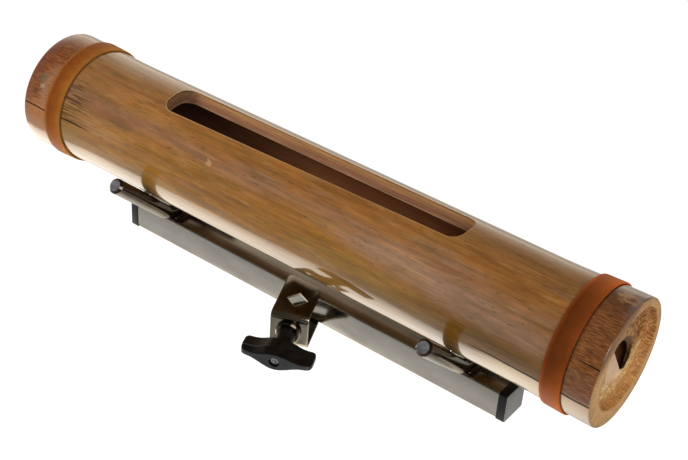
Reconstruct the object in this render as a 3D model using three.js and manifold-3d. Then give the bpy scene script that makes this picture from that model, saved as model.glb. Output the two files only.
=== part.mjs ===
// A bamboo block on a clamp-on holder: a slotted bamboo culm carried by two bent rods on a square bar,
// with a strap clamp and a wing bolt that hold the bar on a stand's upright rod.
// Millimetres, +Z up, +X along the bamboo, +Y away from the player.
// The origin lies on the upright rod's axis, halfway up the bar.

import * as THREE from 'three';
import { mergeVertices } from 'three/addons/utils/BufferGeometryUtils.js';
import Module from 'manifold-3d';

const wasm = await Module();
wasm.setup();

const { degToRad } = THREE.MathUtils;

// Fits: the gap between pieces that touch, and how far joined or cutting shapes reach past a face
const fit = 0.3;
const reachPast = 1;

// Bamboo culm: it swells towards the node walls that close both ends
const culmLength = 433;
const culmRadius = 38;
const culmLeftSwell = 1.8;
const culmRightSwell = 1.6;
const culmSwellReach = 60;
const culmSwellSteps = 4;
const culmWall = 9;
const culmEndRound = 1.2;
const culmShift = -6.8;
const culmClearance = 17.1;
const nodeWallRecess = 5;
const nodeWallThickness = 3;

// Near end: its recess lies off the culm's axis, and so does the hole, half closed by a ledge
const endRecessRadius = 31.5;
const endRecessOut = 3.2;
const endRecessRise = 1;
const endHoleRadius = 15.4;
const endHoleOut = 1.5;
const endHoleDrop = 1;
const endLedgeDepth = 1.5;
const endLedgeOffset = -0.6;
const endLedgeTurn = degToRad(33);

// Slot along the culm's top, wider and nearer the player at its left end
const slotLength = 222;
const slotLeftWidth = 26.6;
const slotRightWidth = 24;
const slotLeftLean = -2.7;
const slotRightLean = 0.6;
const slotCorner = 8;
const slotShift = -2.5;

// Rubber bands round the ends
const bandWidth = 13.2;
const bandThickness = 1.1;
const bandEdge = 0.35;
const leftBandInset = 20.2;
const rightBandInset = 18.1;

// Square tube bar and its end plugs
const barLength = 291;
const barSize = 20;
const barWall = 1.5;
const barCorner = 1.6;
const barShift = -3.5;
const rodToBar = 22.3;
const plugLip = 6;
const plugProud = 0.4;
const plugChamfer = 0.9;
const plugStub = 14;
const plugCore = 12;
const plugFin = 1.4;
const plugFinCount = 3;

// Bent cradle rods and their welds
const cradleInset = 27.4;
const cradleRodRadius = 5.15;
const cradleArmTilt = degToRad(43.5);
const cradleArmPast = 38;
const cradleBend = 12;
const cradleTipChamfer = 1;
const weldWidth = 3.4;
const weldLength = 8;
const weldHeight = 3;

// Screws that hold the culm on the cradle arms, from inside the bore
const cradleScrewRadius = 2;
const cradleScrewBite = 6;
const cradleHeadRadius = 3.8;
const cradleHeadHeight = 2.4;
const cradleSocketAcross = 2.5;
const cradleSocketDepth = 1.4;
const cradleWasherRadius = 5.5;
const cradleWasherThickness = 1;

// Strap clamp: a U of flat steel, turned on the bar, with square holes on edge for the upright rod
const clampTurn = degToRad(22.5);
const strapWidth = 24.5;
const strapThickness = 2;
const strapBend = 4;
const strapReach = 17.5;
const strapLap = 5.3;
const strapCorner = 4.5;
const rodHole = 9.8;
const strapWeld = 2.6;

// Wing bolt: nut on the strap, screw, and moulded handle
const nutRadius = 8;
const nutThickness = 5;
const nutChamfer = 0.8;
const boltRadius = 3;
const boltChamfer = 0.7;
const boltTipToRod = 6;
const boltRecess = 1.5;
const handleStand = 31.5;
const neckRadius = 5.3;
const neckGap = 1.55;
const neckRound = 0.8;
const neckFlare = 4.5;
const wingLength = 45.5;
const wingDepth = 16.5;
const wingBow = 3;
const wingCorner = 3;
const wingHubHeight = 11.4;
const wingHubSpread = 6.5;
const wingTipHeight = 3.4;
const wingBackFactor = 1.3;
const wingRidgeFactor = 1.5;
const wingRestTurn = degToRad(3.5);

// Fineness of round shapes
const largeSides = 64;
const smallSides = 28;
const rodSides = 16;
const cornerSteps = 3;

// Worked out from the sizes above
const culmHalf = culmLength / 2;
const boreRadius = culmRadius - culmWall;
const boreHalf = culmHalf - nodeWallRecess - nodeWallThickness;
const barTop = barSize / 2;
const culmHeight = barTop + culmClearance + culmRadius;
const cradleSpread = barLength - 2 * cradleInset;
const cradleFootHeight = barTop + fit + cradleRodRadius;
const cradleArmGap = culmRadius + fit + cradleRodRadius;
const cradleRise = culmHeight - cradleFootHeight;
const cradleFootHalf = (cradleArmGap - cradleRise * Math.cos(cradleArmTilt)) / Math.sin(cradleArmTilt);
const cradleContactRun = cradleRise * Math.sin(cradleArmTilt) - cradleFootHalf * Math.cos(cradleArmTilt);
const cradleArmRun = cradleContactRun + cradleArmPast;
const cradleBendRun = cradleBend * Math.tan(cradleArmTilt / 2);
const cradleWasherSeat = Math.sqrt(boreRadius ** 2 - cradleWasherRadius ** 2) - fit;
const cradleHeadSeat = cradleWasherSeat - cradleWasherThickness - fit;
const cradleScrewEnd = culmRadius + fit + cradleScrewBite;
const strapHalfHeight = barTop + fit + strapThickness;
const strapRear = rodToBar - barTop + strapLap;
const nutFace = strapReach + fit + nutThickness;
const neckStart = nutFace + neckGap;
const handleFront = strapReach + handleStand;
const wingBack = handleFront - wingDepth;

// Directions for drawings: the drawing's own X, Y and push direction
const AXIS_X = new THREE.Vector3(1, 0, 0);
const AXIS_Y = new THREE.Vector3(0, 1, 0);
const AXIS_Z = new THREE.Vector3(0, 0, 1);
const alongX = new THREE.Matrix4().makeBasis(AXIS_Y, AXIS_Z, AXIS_X);
const towardPlayer = new THREE.Matrix4().makeBasis(AXIS_X, AXIS_Z, AXIS_Y.clone().negate());
const downward = new THREE.Matrix4().makeBasis(AXIS_X, AXIS_Y.clone().negate(), AXIS_Z.clone().negate());

// Materials
function finish(color, roughness, metalness) {
  return new THREE.MeshStandardMaterial({ color, roughness, metalness });
}
const bamboo = finish(0xa8703a, 0.3, 0);
const amberRubber = finish(0xa85a1c, 0.55, 0);
const darkNickel = finish(0x6e6a64, 0.28, 1);
const zincSteel = finish(0xb4b2ac, 0.35, 1);
const blackPlastic = finish(0x17171a, 0.5, 0);

// A closed solid from a geometry: only positions, shared vertices merged, triangles with no area dropped
function solid(geometry) {
  const bare = geometry.clone();
  bare.deleteAttribute('normal');
  bare.deleteAttribute('uv');
  const merged = mergeVertices(bare);
  const corners = merged.index.array;
  const kept = [];
  for (let i = 0; i < corners.length; i += 3) {
    const [a, b, c] = [corners[i], corners[i + 1], corners[i + 2]];
    if (a !== b && b !== c && c !== a) kept.push(a, b, c);
  }
  const vertProperties = merged.attributes.position.array;
  const triVerts = Uint32Array.from(kept);
  return new wasm.Manifold(new wasm.Mesh({ numProp: 3, vertProperties, triVerts }));
}

const joined = (first, ...others) => others.reduce((body, other) => body.add(other), first);
const cut = (first, ...others) => others.reduce((body, other) => body.subtract(other), first);

function piece(name, body, material) {
  const { vertProperties, triVerts } = body.getMesh();
  const geometry = new THREE.BufferGeometry();
  geometry.setAttribute('position', new THREE.BufferAttribute(Float32Array.from(vertProperties), 3));
  geometry.setIndex(new THREE.BufferAttribute(Uint32Array.from(triVerts), 1));
  geometry.computeVertexNormals();
  const mesh = new THREE.Mesh(geometry, material);
  mesh.name = name;
  return mesh;
}

// A revolved shape about +Z from radius and height pairs, listed outwards along the bottom and then up
function turned(profile, sides) {
  const points = profile.map(([radius, height]) => new THREE.Vector2(radius, height));
  return new THREE.LatheGeometry(points, sides).rotateX(Math.PI / 2);
}

function rod(radius, from, to, sides, chamfer = 0) {
  const profile = [[0, from], [radius - chamfer, from], [radius, from + chamfer]];
  profile.push([radius, to - chamfer], [radius - chamfer, to], [0, to]);
  return turned(profile, sides);
}

function ring(inner, outer, from, to, sides, edge) {
  const profile = [[inner, from], [outer - edge, from], [outer, from + edge]];
  profile.push([outer, to - edge], [outer - edge, to], [inner, to], [inner, from]);
  return turned(profile, sides);
}

function pushed(shape, from, to, steps = 1) {
  const settings = { depth: to - from, steps, bevelEnabled: false, curveSegments: cornerSteps };
  return new THREE.ExtrudeGeometry(shape, settings).translate(0, 0, from);
}

function roundedRectangle(width, height, radius) {
  const x = width / 2 - radius;
  const y = height / 2 - radius;
  const quarter = Math.PI / 2;
  const shape = new THREE.Shape();
  shape.absarc(x, y, radius, 0, quarter);
  shape.absarc(-x, y, radius, quarter, 2 * quarter);
  shape.absarc(-x, -y, radius, 2 * quarter, 3 * quarter);
  shape.absarc(x, -y, radius, 3 * quarter, 4 * quarter);
  return shape;
}

// An outline through corners, each with its own rounding length
function roundedOutline(corners) {
  const shape = new THREE.Shape();
  corners.forEach(([x, y, radius], i) => {
    const corner = new THREE.Vector2(x, y);
    const before = new THREE.Vector2(...corners.at(i - 1));
    const after = new THREE.Vector2(...corners[(i + 1) % corners.length]);
    const enter = corner.clone().add(before.sub(corner).setLength(radius));
    const leave = corner.clone().add(after.sub(corner).setLength(radius));
    if (i === 0) shape.moveTo(enter.x, enter.y);
    else shape.lineTo(enter.x, enter.y);
    shape.quadraticCurveTo(x, y, leave.x, leave.y);
  });
  shape.closePath();
  return shape;
}

// Bamboo culm

// The four places where a cradle arm meets the culm, seen from the culm's middle
const cradlePlaces = [-1, 1].flatMap((end) => [-1, 1].map((side) => ({
  x: barShift + end * cradleSpread / 2 - culmShift,
  tilt: side * cradleArmTilt,
})));

// Turns a shape that points down the -Z axis towards one of those places
function atCradle(geometry, { x, tilt }) {
  return geometry.rotateX(tilt).translate(x, 0, 0);
}

function culmRadiusAt(x) {
  const swell = x < 0 ? culmLeftSwell : culmRightSwell;
  return culmRadius + swell * THREE.MathUtils.smoothstep(Math.abs(x), culmHalf - culmSwellReach, culmHalf);
}

function culmOutside() {
  const stepLength = (culmSwellReach - culmEndRound) / culmSwellSteps;
  const lastStep = culmHalf - culmEndRound;
  const steps = Array.from({ length: culmSwellSteps + 1 }, (_, i) => lastStep - i * stepLength);
  const places = [...steps.map((x) => -x), ...steps.toReversed()];
  const profile = [[0, -culmHalf], [culmRadiusAt(-culmHalf) - culmEndRound, -culmHalf]];
  profile.push(...places.map((x) => [culmRadiusAt(x), x]));
  profile.push([culmRadiusAt(culmHalf) - culmEndRound, culmHalf], [0, culmHalf]);
  return turned(profile, largeSides);
}

const endHole = new THREE.Shape().absarc(0, 0, endHoleRadius, 0, 2 * Math.PI);
const halfOpening = Math.acos(endLedgeOffset / endHoleRadius);
const openHalf = new THREE.Shape();
openHalf.absarc(0, 0, endHoleRadius, endLedgeTurn - halfOpening, endLedgeTurn + halfOpening);
openHalf.closePath();

// Seen from above, the slot tapers and lies a little askew
function slotPlan() {
  const end = slotLength / 2;
  const leftHalf = slotLeftWidth / 2;
  const rightHalf = slotRightWidth / 2;
  return roundedOutline([
    [-end, slotLeftLean - leftHalf, slotCorner],
    [end, slotRightLean - rightHalf, slotCorner],
    [end, slotRightLean + rightHalf, slotCorner],
    [-end, slotLeftLean + leftHalf, slotCorner],
  ]);
}

function bambooTube() {
  const bore = rod(boreRadius, -boreHalf, boreHalf, largeSides);
  const nearFace = culmHalf - nodeWallRecess;
  const nearRecess = rod(endRecessRadius, nearFace, culmHalf + reachPast, largeSides);
  nearRecess.translate(endRecessOut, endRecessRise, 0);
  const farRecess = rod(boreRadius, -culmHalf - reachPast, -nearFace, largeSides);
  const pocket = pushed(endHole, nearFace - endLedgeDepth, culmHalf);
  const opening = pushed(openHalf, boreHalf - reachPast, culmHalf);
  for (const shape of [pocket, opening]) shape.translate(endHoleOut, -endHoleDrop, 0);
  const roundShapes = [bore, nearRecess, farRecess, pocket, opening];
  const roundCuts = roundShapes.map((shape) => shape.applyMatrix4(alongX));
  const slot = pushed(slotPlan(), 0, culmRadius + reachPast).translate(slotShift, 0, 0);
  const holes = cradlePlaces.map((place) => {
    const hole = rod(cradleScrewRadius + fit, boreRadius / 2, culmRadius + reachPast, rodSides);
    return atCradle(hole.applyMatrix4(downward), place);
  });
  return cut(solid(culmOutside().applyMatrix4(alongX)), ...[...roundCuts, slot, ...holes].map(solid));
}

// A flat band on the swell, so its two edges lie on different radii
function rubberBand(from) {
  const to = from + bandWidth;
  const start = culmRadiusAt(from) + fit;
  const stop = culmRadiusAt(to) + fit;
  const band = turned([
    [start, from],
    [start + bandThickness - bandEdge, from],
    [start + bandThickness, from + bandEdge],
    [stop + bandThickness, to - bandEdge],
    [stop + bandThickness - bandEdge, to],
    [stop, to],
    [start, from],
  ], largeSides);
  return solid(band.applyMatrix4(alongX));
}

function cradleScrew(place) {
  const head = turned([
    [0, cradleHeadSeat - cradleHeadHeight],
    [cradleHeadRadius / 2, cradleHeadSeat - cradleHeadHeight],
    [cradleHeadRadius, cradleHeadSeat - cradleHeadHeight / 3],
    [cradleHeadRadius, cradleHeadSeat],
    [cradleScrewRadius, cradleHeadSeat],
    [cradleScrewRadius, cradleScrewEnd],
    [0, cradleScrewEnd],
  ], rodSides);
  const top = cradleHeadSeat - cradleHeadHeight;
  const hexagon = 6;
  const socket = rod(cradleSocketAcross / Math.sqrt(3), top - reachPast, top + cradleSocketDepth, hexagon);
  const shapes = [head, socket].map((shape) => solid(atCradle(shape.applyMatrix4(downward), place)));
  return cut(...shapes);
}

function cradleWasher(place) {
  const from = cradleWasherSeat - cradleWasherThickness;
  const inner = cradleScrewRadius + fit;
  const washer = turned([
    [inner, from],
    [cradleWasherRadius, from],
    [cradleWasherRadius, cradleWasherSeat],
    [inner, cradleWasherSeat],
    [inner, from],
  ], rodSides);
  return solid(atCradle(washer.applyMatrix4(downward), place));
}

// Bar, plugs and cradle rods

function holderBar() {
  const section = roundedRectangle(barSize, barSize, barCorner);
  const inside = barSize - 2 * barWall;
  section.holes.push(roundedRectangle(inside, inside, Math.max(barCorner - barWall, fit)));
  return solid(pushed(section, -barLength / 2, barLength / 2).applyMatrix4(alongX));
}

// The lip is drawn twice as long as it shows, chamfered at both ends, and its inner half is cut away
function endPlug(end) {
  const lipSize = barSize + 2 * plugProud;
  const lipFace = roundedRectangle(lipSize - 2 * plugChamfer, lipSize - 2 * plugChamfer, barCorner);
  const lip = new THREE.ExtrudeGeometry(lipFace, {
    depth: 2 * (plugLip - plugChamfer),
    bevelThickness: plugChamfer,
    bevelSize: plugChamfer,
    bevelSegments: 1,
    curveSegments: cornerSteps,
  }).translate(0, 0, plugChamfer - plugLip);
  const innerHalf = new THREE.BoxGeometry(2 * lipSize, 2 * lipSize, 2 * plugLip).translate(0, 0, -plugLip);
  const finSize = barSize - 2 * (barWall + fit);
  const core = new THREE.BoxGeometry(plugCore, plugCore, plugStub + reachPast);
  core.translate(0, 0, (reachPast - plugStub) / 2);
  const finPitch = plugStub / plugFinCount;
  const fins = Array.from({ length: plugFinCount }, (_, i) => {
    const fin = new THREE.BoxGeometry(finSize, finSize, plugFin);
    return fin.translate(0, 0, plugFin / 2 - plugStub + i * finPitch);
  });
  const place = (shape) => {
    shape.translate(0, 0, barLength / 2 + fit).applyMatrix4(alongX);
    return solid(end < 0 ? shape.rotateZ(Math.PI) : shape);
  };
  const lipBody = cut(place(lip), place(innerHalf));
  return joined(lipBody, ...[core, ...fins].map(place));
}

// The rod's centre line: a short foot across the bar, a bend on each side, and two arms under the culm.
// A step along the path is a share of the foot, the bend or the arm, so the bends get steps of their own.
class CradlePath extends THREE.Curve {
  getPoint(t, target = new THREE.Vector3()) {
    const side = t < 0.5 ? -1 : 1;
    const share = Math.abs(2 * t - 1);
    const footShare = 0.2;
    const bendShare = 0.6;
    const flat = cradleFootHalf - cradleBendRun;
    if (share <= footShare) return target.set(0, side * flat * share / footShare, cradleFootHeight);
    if (share <= bendShare) {
      const turn = cradleArmTilt * (share - footShare) / (bendShare - footShare);
      const out = flat + cradleBend * Math.sin(turn);
      return target.set(0, side * out, cradleFootHeight + cradleBend * (1 - Math.cos(turn)));
    }
    const armShare = (share - bendShare) / (1 - bendShare);
    const run = THREE.MathUtils.lerp(cradleBendRun, cradleArmRun - cradleTipChamfer, armShare);
    const out = cradleFootHalf + run * Math.cos(cradleArmTilt);
    return target.set(0, side * out, cradleFootHeight + run * Math.sin(cradleArmTilt));
  }

  getPointAt(t, target) {
    return this.getPoint(t, target);
  }

  getTangentAt(t, target) {
    return this.getTangent(t, target);
  }
}

const cradleSteps = 20;

function cradleRod() {
  const section = new THREE.Shape().absarc(0, 0, cradleRodRadius, 0, 2 * Math.PI);
  const bent = new THREE.ExtrudeGeometry(section, {
    steps: cradleSteps,
    extrudePath: new CradlePath(),
    curveSegments: rodSides / 2,
  });
  const tipRadius = cradleRodRadius * Math.cos(Math.PI / rodSides);
  const tips = [-1, 1].map((side) => {
    const tip = turned([
      [0, -reachPast],
      [tipRadius, -reachPast],
      [tipRadius, 0],
      [tipRadius - cradleTipChamfer, cradleTipChamfer],
      [0, cradleTipChamfer],
    ], rodSides);
    const run = cradleArmRun - cradleTipChamfer;
    const out = cradleFootHalf + run * Math.cos(cradleArmTilt);
    const up = cradleFootHeight + run * Math.sin(cradleArmTilt);
    return tip.rotateX(-side * (Math.PI / 2 - cradleArmTilt)).translate(0, side * out, up);
  });
  const welds = [-1, 1].map((side) => {
    const bead = new THREE.SphereGeometry(1, rodSides, rodSides / 2).rotateX(Math.PI / 2);
    bead.scale(weldWidth, weldLength, weldHeight);
    return bead.translate(side * (cradleRodRadius - weldWidth / 2), 0, barTop + fit);
  });
  const under = new THREE.BoxGeometry(barSize, 2 * barSize, barSize).translate(0, 0, fit);
  const holes = [-1, 1].map((side) => {
    const hole = rod(cradleScrewRadius + fit, culmRadius - reachPast, cradleScrewEnd + fit, rodSides);
    return hole.applyMatrix4(downward).rotateX(side * cradleArmTilt).translate(0, 0, culmHeight);
  });
  const welded = joined(solid(bent), ...[...tips, ...welds].map(solid));
  return cut(welded, solid(under), ...holes.map(solid));
}

// Strap clamp and wing bolt, drawn square to the strap

function clampBracket() {
  const outer = strapBend;
  const inner = strapBend - strapThickness;
  const web = -strapReach;
  const high = strapHalfHeight;
  const turnIn = high - strapBend;
  const rear = strapRear + strapWidth;
  const quarter = Math.PI / 2;
  const section = new THREE.Shape();
  section.moveTo(rear, high);
  section.absarc(web + outer, turnIn, outer, quarter, 2 * quarter);
  section.absarc(web + outer, -turnIn, outer, 2 * quarter, 3 * quarter);
  section.lineTo(rear, -high);
  section.lineTo(rear, -high + strapThickness);
  section.absarc(web + outer, -turnIn, inner, 3 * quarter, 2 * quarter, true);
  section.absarc(web + outer, turnIn, inner, 2 * quarter, quarter, true);
  section.lineTo(rear, high - strapThickness);
  section.closePath();
  const half = strapWidth / 2;
  const strap = pushed(section, -half, half).applyMatrix4(alongX);
  const rearAt = (x) => (strapRear - x * Math.sin(clampTurn)) / Math.cos(clampTurn);
  const plan = roundedOutline([
    [-half, web - 2 * reachPast, reachPast],
    [half, web - 2 * reachPast, reachPast],
    [half, rearAt(half), strapCorner],
    [-half, rearAt(-half), strapCorner],
  ]);
  const trimmed = solid(strap).intersect(solid(pushed(plan, -high - reachPast, high + reachPast)));
  const diamond = new THREE.BoxGeometry(rodHole, rodHole, 4 * high).rotateZ(Math.PI / 4);
  const boltHole = rod(boltRadius + fit, strapReach / 2, strapReach + reachPast, smallSides);
  const bead = new THREE.SphereGeometry(strapWeld, rodSides, rodSides / 2);
  bead.translate(half - strapCorner / 2, rearAt(half) - strapCorner / 2, high - strapThickness);
  const under = new THREE.BoxGeometry(2 * strapWidth, 4 * strapRear, barSize).translate(0, 0, fit);
  const weld = cut(solid(bead), solid(under));
  return cut(joined(trimmed, weld), solid(diamond), solid(boltHole.applyMatrix4(towardPlayer)));
}

function clampNut() {
  const from = strapReach + fit;
  const nut = ring(boltRadius + fit, nutRadius, from, nutFace, smallSides, nutChamfer);
  return solid(nut.applyMatrix4(towardPlayer));
}

function clampScrew() {
  const screw = rod(boltRadius, boltTipToRod, handleFront - boltRecess, smallSides, boltChamfer);
  return solid(screw.applyMatrix4(towardPlayer));
}

// The front outline swells round the screw and thins out to the tips; a ridge runs along each blade
function wingBlades() {
  const tip = wingLength / 2;
  const high = wingHubHeight / 2;
  const low = wingTipHeight / 2;
  const spread = wingHubSpread;
  const front = new THREE.Shape();
  front.moveTo(tip, low);
  front.bezierCurveTo(spread, low, spread, high, 0, high);
  front.bezierCurveTo(-spread, high, -spread, low, -tip, low);
  front.lineTo(-tip, -low);
  front.bezierCurveTo(-spread, -low, -spread, -high, 0, -high);
  front.bezierCurveTo(spread, -high, spread, -low, tip, -low);
  front.closePath();
  const from = wingBack - neckFlare;
  const rings = [wingBackFactor, wingRidgeFactor, wingRidgeFactor, 1];
  const blades = new THREE.ExtrudeGeometry(front, {
    depth: handleFront - from,
    steps: rings.length - 1,
    bevelEnabled: false,
    curveSegments: 2 * cornerSteps,
  });
  const spots = blades.attributes.position;
  for (let i = 0; i < spots.count; i += 1) {
    const level = Math.round((rings.length - 1) * spots.getZ(i) / (handleFront - from));
    const bladeShare = Math.min(1, Math.abs(spots.getX(i)) / spread);
    spots.setY(i, spots.getY(i) * THREE.MathUtils.lerp(1, rings[level], bladeShare));
  }
  return blades.translate(0, 0, from).applyMatrix4(towardPlayer);
}

// Seen from above: the neck flares into the blades, whose front edge is bowed
function wingPlan() {
  const tip = wingLength / 2;
  const tipFront = handleFront - wingBow;
  const plan = new THREE.Shape();
  plan.moveTo(-neckRadius, -(wingBack - neckFlare - reachPast));
  plan.lineTo(-neckRadius, -(wingBack - neckFlare));
  plan.quadraticCurveTo(-neckRadius, -wingBack, -neckRadius - neckFlare, -wingBack);
  plan.lineTo(-tip + wingCorner, -wingBack);
  plan.quadraticCurveTo(-tip, -wingBack, -tip, -wingBack - wingCorner);
  plan.lineTo(-tip, -tipFront + wingCorner);
  plan.quadraticCurveTo(-tip, -tipFront, -tip + wingCorner, -tipFront);
  plan.quadraticCurveTo(0, -handleFront - wingBow, tip - wingCorner, -tipFront);
  plan.quadraticCurveTo(tip, -tipFront, tip, -tipFront + wingCorner);
  plan.lineTo(tip, -wingBack - wingCorner);
  plan.quadraticCurveTo(tip, -wingBack, tip - wingCorner, -wingBack);
  plan.lineTo(neckRadius + neckFlare, -wingBack);
  plan.quadraticCurveTo(neckRadius, -wingBack, neckRadius, -(wingBack - neckFlare));
  plan.lineTo(neckRadius, -(wingBack - neckFlare - reachPast));
  plan.closePath();
  return pushed(plan, -wingHubHeight, wingHubHeight);
}

function wingHandle() {
  const neck = turned([
    [0, neckStart],
    [neckRadius - neckRound, neckStart],
    [neckRadius, neckStart + neckRound],
    [neckRadius, handleFront - wingBow],
    [0, handleFront - wingBow],
  ], smallSides).applyMatrix4(towardPlayer);
  const bore = rod(boltRadius + fit, neckStart - reachPast, handleFront + reachPast, smallSides);
  const blades = solid(wingBlades()).intersect(solid(wingPlan()));
  const handle = cut(joined(blades, solid(neck)), solid(bore.applyMatrix4(towardPlayer)));
  return handle.rotate([0, THREE.MathUtils.radToDeg(wingRestTurn), 0]);
}

// The whole block

const culm = new THREE.Group();
culm.position.set(culmShift, rodToBar, culmHeight);
culm.add(piece('bamboo_tube', bambooTube(), bamboo));
culm.add(piece('left_band', rubberBand(leftBandInset - culmHalf), amberRubber));
culm.add(piece('right_band', rubberBand(culmHalf - rightBandInset - bandWidth), amberRubber));
cradlePlaces.forEach((place, i) => {
  culm.add(piece(`cradle_screw_${i + 1}`, cradleScrew(place), zincSteel));
  culm.add(piece(`cradle_washer_${i + 1}`, cradleWasher(place), zincSteel));
});

const holder = new THREE.Group();
holder.position.set(barShift, rodToBar, 0);
holder.add(piece('holder_bar', holderBar(), darkNickel));
for (const [name, end] of [['left', -1], ['right', 1]]) {
  holder.add(piece(`${name}_end_plug`, endPlug(end), blackPlastic));
  const bentRod = piece(`${name}_cradle_rod`, cradleRod(), darkNickel);
  bentRod.position.x = end * cradleSpread / 2;
  holder.add(bentRod);
}

const clamp = new THREE.Group();
clamp.rotation.z = clampTurn;
clamp.add(piece('clamp_bracket', clampBracket(), darkNickel));
clamp.add(piece('clamp_nut', clampNut(), darkNickel));
clamp.add(piece('clamp_screw', clampScrew(), zincSteel));
clamp.add(piece('wing_handle', wingHandle(), blackPlastic));

const block = new THREE.Group();
block.add(culm, holder, clamp);

export default block;
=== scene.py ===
"""Looks of a bamboo block on a clamp-on holder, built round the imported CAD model."""

from functools import partial
from math import cos, hypot, pi, radians, sin, sqrt, tan

import bmesh
import bpy
from bmesh import ops
from bmesh.types import BMEdge, BMVert
from mathutils import Matrix, Vector, noise


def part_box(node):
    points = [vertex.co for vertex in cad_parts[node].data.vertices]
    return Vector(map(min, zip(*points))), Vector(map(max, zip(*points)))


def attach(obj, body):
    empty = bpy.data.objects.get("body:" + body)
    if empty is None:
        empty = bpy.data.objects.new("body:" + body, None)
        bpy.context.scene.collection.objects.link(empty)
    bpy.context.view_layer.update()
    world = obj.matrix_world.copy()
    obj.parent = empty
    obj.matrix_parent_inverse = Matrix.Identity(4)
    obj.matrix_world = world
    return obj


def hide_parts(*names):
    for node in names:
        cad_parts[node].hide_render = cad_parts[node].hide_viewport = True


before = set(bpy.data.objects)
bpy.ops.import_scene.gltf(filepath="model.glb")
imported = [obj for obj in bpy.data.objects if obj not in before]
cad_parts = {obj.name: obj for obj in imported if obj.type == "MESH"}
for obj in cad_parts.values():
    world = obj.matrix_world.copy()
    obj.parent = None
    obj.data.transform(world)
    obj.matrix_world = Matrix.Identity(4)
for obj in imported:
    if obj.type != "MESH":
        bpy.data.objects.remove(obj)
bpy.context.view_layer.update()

# Shapes are drawn in millimetres and scaled to metres when a piece is finished.
MM = 0.001
X, Y, Z = Vector((1, 0, 0)), Vector((0, 1, 0)), Vector((0, 0, 1))
QUARTER = pi / 2
# Clearance between pieces, and the gap under which two points are one
FIT = 0.3
SAME = 0.001


def box_mm(node):
    low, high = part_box(node)
    return low / MM, high / MM


def new_object(name, data):
    thing = bpy.data.objects.new(name, data)
    bpy.context.collection.objects.link(thing)
    return thing


def mesh_object(name, bm):
    """Puts a drawn shape into the scene."""
    mesh = bpy.data.meshes.new(name)
    bm.to_mesh(mesh)
    bm.free()
    return new_object(name, mesh)


# Sizes that the frame gives
culm_low, culm_high = box_mm("bamboo_tube")
culm_centre = (culm_low + culm_high) / 2
culm_half = (culm_high.x - culm_low.x) / 2
culm_left_radius = (culm_high.z - culm_low.z) / 2
bar_low, bar_high = box_mm("holder_bar")
bar_centre = (bar_low + bar_high) / 2
bar_size = bar_high.z - bar_low.z
bar_top = bar_high.z
plug_end = box_mm("right_end_plug")[1].x
band_edges = [box_mm(node)[end].x - culm_centre.x for node in ("left_band", "right_band") for end in (0, 1)]
rod_middles = [sum(box_mm(node), Vector()).x / 2 for node in ("left_cradle_rod", "right_cradle_rod")]

# Sizes of the culm, as in the CAD model
culm_radius = 38.0
culm_right_radius = 39.6
culm_swell_reach = 60.0
culm_end_round = 1.2
culm_sides = 160
bore_radius = 29.0
node_wall_recess = 5.0
node_wall_thickness = 3.0
node_face = culm_half - node_wall_recess
end_recess_radius = 31.5
end_recess_shift = Vector((0, 3.2, 1.0))
end_hole_radius = 15.4
end_hole_shift = Vector((0, 1.5, -1.0))
end_ledge_depth = 1.5
end_ledge_offset = -0.6
end_ledge_turn = radians(33)
slot_length = 222.0
slot_widths = (26.6, 24.0)
slot_leans = (-2.7, 0.6)
slot_corner = 8.0
slot_shift = -2.5
slot_ends = (slot_shift - slot_length / 2, slot_shift + slot_length / 2)

# Sizes of the node walls that only show here: the flat middle, the round at the recess's foot and the gouge
dish_start = 18.0
dish = 3.0
gouge_depth = 1.7

# Sizes of the bent rods that carry the culm, and of the holes for their screws
cradle_radius = 5.15
cradle_tilt = radians(43.5)
cradle_hole = 2.3

# Sizes of the clamp, drawn square to the strap and then turned with it
clamp_turn = radians(22.5)
strap_way = Vector((sin(clamp_turn), -cos(clamp_turn), 0))
strap_width = 24.5
strap_thickness = 2.0
strap_bend = 4.0
strap_reach = 17.5
strap_lap = 5.3
strap_corner = 4.5
rod_hole = 9.8
strap_high = bar_size / 2 + FIT + strap_thickness
nut_back = strap_reach + FIT
nut_radius = 8.0
nut_thickness = 2.8
bolt_radius = 3.0
bolt_pitch = 1.0
bolt_tip = 6.0
neck_sunk = 0.7
neck_start = nut_back + nut_thickness - neck_sunk
neck_radius = 5.8
handle_reach = 31.5
handle_front = strap_reach + handle_reach
handle_depth = 16.5
handle_ridge_depth = 7.1
handle_ridge = handle_front - handle_ridge_depth

# Material numbers of the culm
SKIN, END_GRAIN, PITH, BORE, SLOT_CUT, LEDGE = range(6)

# Camera at the photograph's angle
camera_data = bpy.data.cameras.new("camera")
camera_data.sensor_width = 36.0
camera_data.lens = 74.85
camera = new_object("camera", camera_data)
camera_right = Vector((0.7944, 0.6042, 0.0630))
camera_back = Vector((0.4635, -0.6699, 0.5800))
camera_up = camera_back.cross(camera_right)
camera.matrix_world = Matrix((camera_right, camera_up, camera_back)).transposed().to_4x4()
camera.location = (0.42069, -0.56290, 0.56785)
bpy.context.scene.camera = camera


def linear(code):
    """A hex sRGB colour as linear RGBA."""
    parts = [int(code[i:i + 2], 16) / 255 for i in (1, 3, 5)]
    return (*(p / 12.92 if p <= 0.04045 else ((p + 0.055) / 1.055) ** 2.4 for p in parts), 1.0)


# Short names for nodes with settings: the node, its settings, the inputs to fill and the output to read
SHORT = {
    "Blend": ("Mix", {"data_type": "RGBA"}, (0, 6, 7), 2),
    "Tint": ("Mix", {"data_type": "RGBA", "blend_type": "MULTIPLY"}, (0, 6, 7), 2),
    "Level": ("Mix", {"data_type": "FLOAT"}, (0, 2, 3), 0),
    "Fade": ("MapRange", {"interpolation_type": "SMOOTHSTEP"}, range(5), 0),
    "Length": ("VectorMath", {"operation": "LENGTH"}, (0,), 1),
    "Dot": ("VectorMath", {"operation": "DOT_PRODUCT"}, (0, 1), 1),
}


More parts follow.
